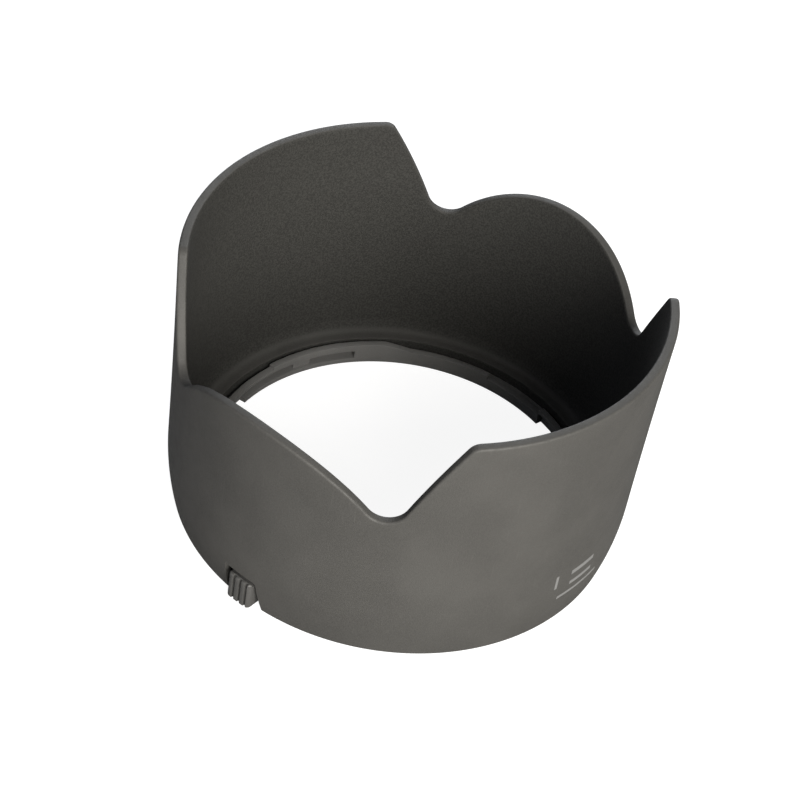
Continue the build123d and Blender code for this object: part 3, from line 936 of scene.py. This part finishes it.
def bar_outline(start, start_r, end, end_r, count=14):
    """The outline of a tapered bar with round ends."""
    heading = bearing(start, end)
    lean = math.acos((start_r - end_r) / math.dist(start, end))
    outline = []
    for centre, radius, low, high in (
        (end, end_r, heading - lean, heading + lean),
        (start, start_r, heading + lean, heading - lean + 2 * math.pi),
    ):
        for i in range(count + 1):
            t = low + (high - low) * i / count
            outline.append((centre[0] + radius * math.cos(t), centre[1] + radius * math.sin(t)))
    return outline


def make_lock_lever():
    pivot = on_circle(PIVOT_R, PIVOT_ANGLE)
    peg = (PEG_X, PEG_Y)
    claw_root = on_circle(CLAW_ROOT_R, CLAW_ANGLE)

    def bar(end, end_r):
        outline = bar_outline(pivot, HUB_R, end, end_r)
        return lambda bm: add_prism(bm, outline, lambda p, z: (*p, z), LEVER_BOTTOM, LEVER_TOP)

    def post(centre, radius, bottom, top):
        return lambda bm: add_post(bm, *centre, radius, bottom, top)

    def claw(bm):
        low, high = CLAW_ANGLE - CLAW_HALF_ANGLE, CLAW_ANGLE + CLAW_HALF_ANGLE
        add_sector(bm, CLAW_TIP_R, CLAW_ROOT_R, low, high, LEVER_BOTTOM, CLAW_TOP)

    lever = tool(bar(peg, ARM_END_R), LOCK_TURN)
    lever.name = "lock_lever_body"
    combine(lever, tool(bar(claw_root, CLAW_END_R), LOCK_TURN), "UNION")
    foot = LEVER_BOTTOM + 0.1
    combine(lever, tool(post(pivot, HUB_R - 0.01, foot, HUB_TOP), LOCK_TURN), "UNION")
    combine(lever, tool(post(peg, PEG_R, foot, PEG_TOP), LOCK_TURN), "UNION")
    combine(lever, tool(claw, LOCK_TURN), "UNION")
    combine(lever, tool(post(pivot, HUB_HOLE_R, 0, HUB_TOP + 1), LOCK_TURN), "DIFFERENCE")
    round_edges(lever, 0.08, 2, 50)
    return finish_piece(lever, "lever", "lock_lever", PLASTIC_LEVER)


# ---- spring ----
SPRING_TURNS, CLOSED_TURNS, STEPS_PER_TURN, WIRE_STEPS = 8.5, 1.25, 28, 10


def spring_rise(turn):
    """How far along the spring the wire's centre is after a number of turns. The end turns lie closed."""
    closed = 2 * SPRING_WIRE * 1.03
    length = POCKET_X - BAY_IN - 2 * SPRING_WIRE
    open_pitch = (length - 2 * CLOSED_TURNS * closed) / (SPRING_TURNS - 2 * CLOSED_TURNS)
    rise = closed * min(turn, CLOSED_TURNS)
    rise += open_pitch * min(max(turn - CLOSED_TURNS, 0), SPRING_TURNS - 2 * CLOSED_TURNS)
    return rise + closed * max(turn - SPRING_TURNS + CLOSED_TURNS, 0)


def make_spring():
    bm = bmesh.new()
    coil_r = SPRING_R - SPRING_WIRE
    rows = []
    for step in range(int(SPRING_TURNS * STEPS_PER_TURN) + 1):
        turn = step / STEPS_PER_TURN
        t = 2 * math.pi * turn
        x = BAY_IN + SPRING_WIRE + spring_rise(turn)
        out = Vector((0, math.cos(t), math.sin(t)))
        centre = Vector((x, 0, SPRING_Z)) + out * coil_r
        row = []
        for u in circle_steps(WIRE_STEPS):
            point = centre + (out * math.cos(u) + Vector((1, 0, 0)) * math.sin(u)) * SPRING_WIRE
            row.append(bm.verts.new(point))
        rows.append(row)
    for low, high in zip(rows, rows[1:]):
        for i in range(WIRE_STEPS):
            j = (i + 1) % WIRE_STEPS
            bm.faces.new((low[i], low[j], high[j], high[i]))
    bm.faces.new(rows[0])
    bm.faces.new(list(reversed(rows[-1])))
    bmesh.ops.rotate(bm, verts=bm.verts, cent=(0, 0, 0), matrix=Matrix.Rotation(LOCK_TURN, 3, "Z"))
    coil = to_object("button_spring_coil", bm)
    finish_piece(coil, "hood", "button_spring", STEEL_SPRING)
    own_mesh(coil)
    return coil


# ---- printed marks: plain bars with no lettering, on the tall petal at -Y ----
PRINT_PROUD, PRINT_ROOT = 0.012, 0.15
PRINT_MIDDLE = -91.2
# Each bar's half width in degrees, then its bottom and its height.
PRINT_BARS = ((4.1, 14.5, 1.2), (4.0, 11.4, 1.0), (7.4, 8.6, 0.9))
UPRIGHT_START, UPRIGHT_END, UPRIGHT_BOTTOM, UPRIGHT_TOP = 9.4, 8.6, 12.6, 16.4


def add_mark(bm, start, end, bottom, top):
    """A thin bar of ink bent to the shell, between two angles in degrees and two heights."""
    across = max(3, int((end - start) / 0.5))
    grid = {}
    for side, skin in enumerate((-PRINT_ROOT, PRINT_PROUD)):
        for i in range(across + 1):
            a = math.radians(start + (end - start) * i / across)
            for k in range(3):
                z = bottom + (top - bottom) * k / 2
                grid[side, i, k] = bm.verts.new(polar(a, outer_r(z) + skin, z))
    for i in range(across):
        for k in range(2):
            for side in (0, 1):
                corners = ((i, k), (i + 1, k), (i + 1, k + 1), (i, k + 1))
                bm.faces.new([grid[side, *corner] for corner in corners])
        for k in (0, 2):
            bm.faces.new((grid[0, i, k], grid[0, i + 1, k], grid[1, i + 1, k], grid[1, i, k]))
    for k in range(2):
        for i in (0, across):
            bm.faces.new((grid[0, i, k], grid[0, i, k + 1], grid[1, i, k + 1], grid[1, i, k]))


def make_print():
    bm = bmesh.new()
    for half, bottom, height in PRINT_BARS:
        add_mark(bm, PRINT_MIDDLE - half, PRINT_MIDDLE + half, bottom, bottom + height)
    start, end = PRINT_MIDDLE - UPRIGHT_START, PRINT_MIDDLE - UPRIGHT_END
    add_mark(bm, start, end, UPRIGHT_BOTTOM, UPRIGHT_TOP)
    marks = to_object("hood_print", bm)
    return finish_piece(marks, "hood", None, INK)


make_hood_shell()
make_bayonet_ring()
make_screws(
    "ring_screws_body",
    "ring_screws",
    RING_SCREW_R,
    RING_SCREW_ANGLES,
    0.0,
    (RING_HEAD_R, RING_SCREW_INSET, RING_SCREW_HEAD, RING_SHANK_R, RING_SCREW_TIP),
)
make_screws(
    "plate_screws_body",
    "plate_screws",
    PLATE_SCREW_R,
    PLATE_SCREW_ANGLES,
    LOCK_TURN,
    (PLATE_HEAD_R, PLATE_BOTTOM + PLATE_INSET, PLATE_HEAD, PLATE_SHANK_R, PLATE_SCREW_TIP),
)
make_pin()
make_lock_plate()
make_lock_button()
make_lock_lever()
make_spring()
make_print()

# ---- camera ----
LOOK_AT = Vector((0, 0, 27.1 * MM))
AZIMUTH, ELEVATION, ROLL = (math.radians(x) for x in (-56.49, 42.24, 9.93))
DISTANCE = 512.7 * MM
SENSOR_WIDTH, LENS, SHIFT_X, SHIFT_Y, CLIP_START = 36, 109.26, -0.0122, -0.0055, 0.01


def towards(azimuth, elevation):
    """The direction from the hood to a place, by azimuth from -Y and elevation."""
    flat = math.cos(elevation)
    return Vector((math.sin(azimuth) * flat, -math.cos(azimuth) * flat, math.sin(elevation)))


back = towards(AZIMUTH, ELEVATION)
camera = bpy.data.objects.new("camera", bpy.data.cameras.new("camera"))
bpy.context.scene.collection.objects.link(camera)
camera.data.sensor_width = SENSOR_WIDTH
camera.data.lens = LENS
camera.data.shift_x = SHIFT_X
camera.data.shift_y = SHIFT_Y
camera.data.clip_start = CLIP_START
camera.location = LOOK_AT + back * DISTANCE
level = (-back).to_track_quat("-Z", "Y")
camera.rotation_mode = "QUATERNION"
camera.rotation_quaternion = level @ Matrix.Rotation(ROLL, 3, "Z").to_quaternion()
bpy.context.scene.camera = camera


# ---- light and floor ----
def softbox(name, azimuth, elevation, distance, size, power, colour):
    """A square area light that faces the hood. Its power is in watts."""
    data = bpy.data.lights.new(name, "AREA")
    data.size = size
    data.energy = power
    data.color = colour
    lamp = bpy.data.objects.new(name, data)
    bpy.context.scene.collection.objects.link(lamp)
    way = towards(math.radians(azimuth), math.radians(elevation))
    lamp.location = LOOK_AT + way * distance
    lamp.rotation_mode = "QUATERNION"
    lamp.rotation_quaternion = (-way).to_track_quat("-Z", "Y")


softbox("key", -33, 26, 1.0, 0.6, 22, (1.0, 0.975, 0.93))
softbox("side fill", -120, 30, 1.1, 0.7, 1.4, (0.78, 0.84, 1.0))
softbox("back fill", 125, 22, 1.1, 0.8, 10, (0.93, 0.96, 1.0))

# The backdrop shows white to the camera, and lights the hood as dimly as a darkened studio.
WORLD_GLOW = 0.07
world = bpy.data.worlds.new("studio")
world.use_nodes = True
world_nodes = world.node_tree
world_seen = world_nodes.nodes.new("ShaderNodeLightPath")
world_strength = world_nodes.nodes.new("ShaderNodeMath")
world_strength.operation = "MAXIMUM"
world_strength.inputs[1].default_value = WORLD_GLOW
world_nodes.links.new(world_seen.outputs["Is Camera Ray"], world_strength.inputs[0])
background = world_nodes.nodes["Background"]
background.inputs["Color"].default_value = (1, 1, 1, 1)
world_nodes.links.new(world_strength.outputs[0], background.inputs["Strength"])
bpy.context.scene.world = world
bpy.context.scene.view_settings.view_transform = "Standard"

FLOOR_GLOW = 0.9
FLOOR_TONE = 0.3
FLOOR_SIZE = 2500
FLOOR_PATCH, FLOOR_ROUGH, FLOOR_ROUGH_SPREAD = 40, 0.75, 0.1
# The floor shows as bright as a light table without lighting the dark plastic from below.
floor_nodes = Nodes("lit floor")
seen = floor_nodes.add("ShaderNodeLightPath").outputs["Is Camera Ray"]
floor_nodes.bsdf.inputs["Emission Color"].default_value = (1, 1, 1, 1)
floor_nodes.put(floor_nodes.math("MULTIPLY", seen, FLOOR_GLOW), floor_nodes.bsdf.inputs["Emission Strength"])
floor_bm = bmesh.new()
bmesh.ops.create_grid(floor_bm, x_segments=2, y_segments=2, size=FLOOR_SIZE)
floor = to_object("floor", floor_bm)
floor_patches = floor_nodes.noise(FLOOR_PATCH)
floor_dull = floor_nodes.math("MULTIPLY_ADD", floor_patches, FLOOR_ROUGH_SPREAD, FLOOR_ROUGH)
floor.data.materials.append(floor_nodes.finish(shade((1, 1, 1), FLOOR_TONE), floor_dull))
